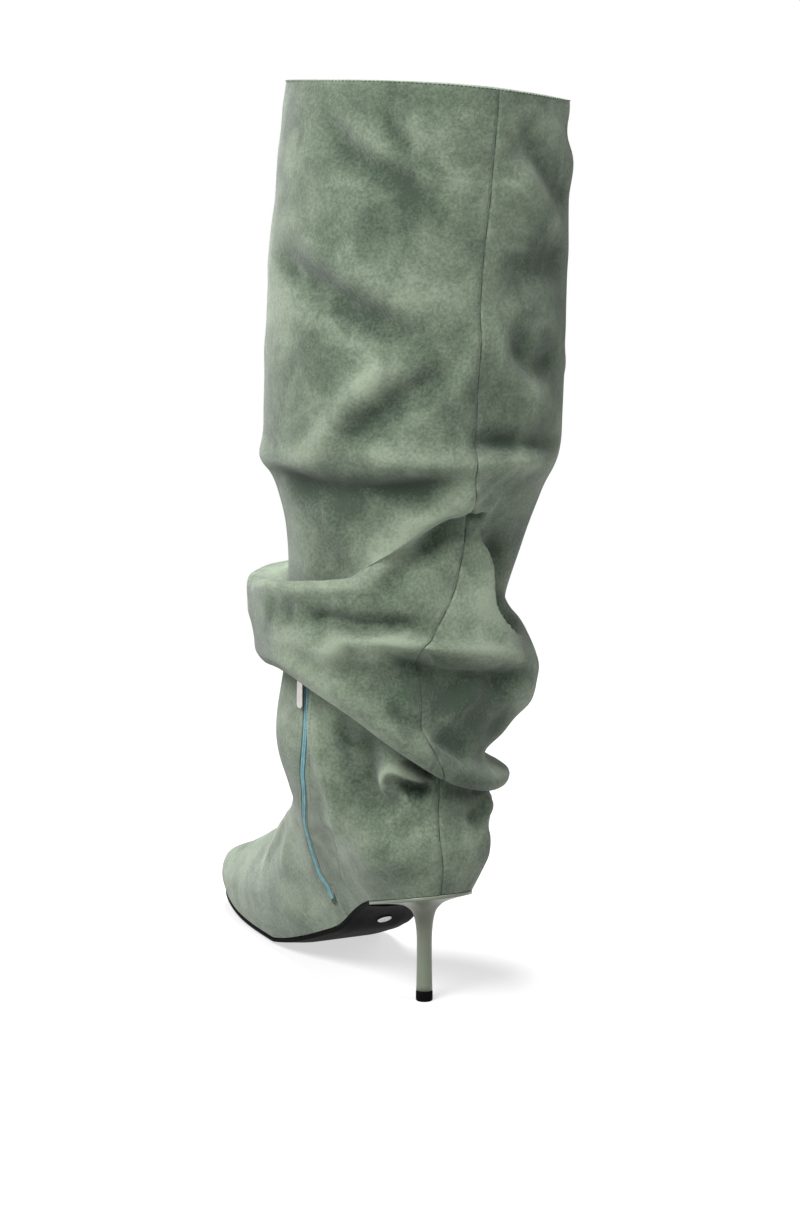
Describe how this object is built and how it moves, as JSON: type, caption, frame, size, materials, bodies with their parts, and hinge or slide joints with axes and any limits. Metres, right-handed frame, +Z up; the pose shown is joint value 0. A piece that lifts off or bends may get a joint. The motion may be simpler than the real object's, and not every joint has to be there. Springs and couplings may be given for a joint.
{
  "type": "stiletto knee boot",
  "caption": "Right knee boot in soft suede with a wide slouched shaft folded over the ankle, an inner ankle zip, a pointed toe and a slim painted stiletto heel.",
  "frame": {"origin": "centre of the heel tip's floor face", "axes": "+Z up the leg, -Y towards the toe, +X towards the inner side of the foot with the zip"},
  "size_m": [0.1611, 0.3032, 0.4821],
  "materials": {
    "suede": "napped sage suede",
    "sock_lining": "smooth lining",
    "black_rubber": "satin black",
    "sage_paint": "satin paint",
    "bright_metal": "bright",
    "teal_coil": "woven tape and coil"
  },
  "bodies": {
    "boot": {"upper": "suede", "insole": "sock_lining", "outsole": "black_rubber", "heel": "sage_paint", "top_piece": "black_rubber", "sole_stud": "bright_metal", "zip_coil": "teal_coil", "zip_slider": "bright_metal"},
    "pull": {"zip_pull": "bright_metal"}
  },
  "joints": [
    {"name": "pull_hinge", "type": "hinge", "parent": "boot", "child": "pull", "pos_m": [0.05818, -0.02894, 0.1785], "axis": [0.0468, -0.9951, 0.0867], "range_deg": [0, 80]}
  ]
}
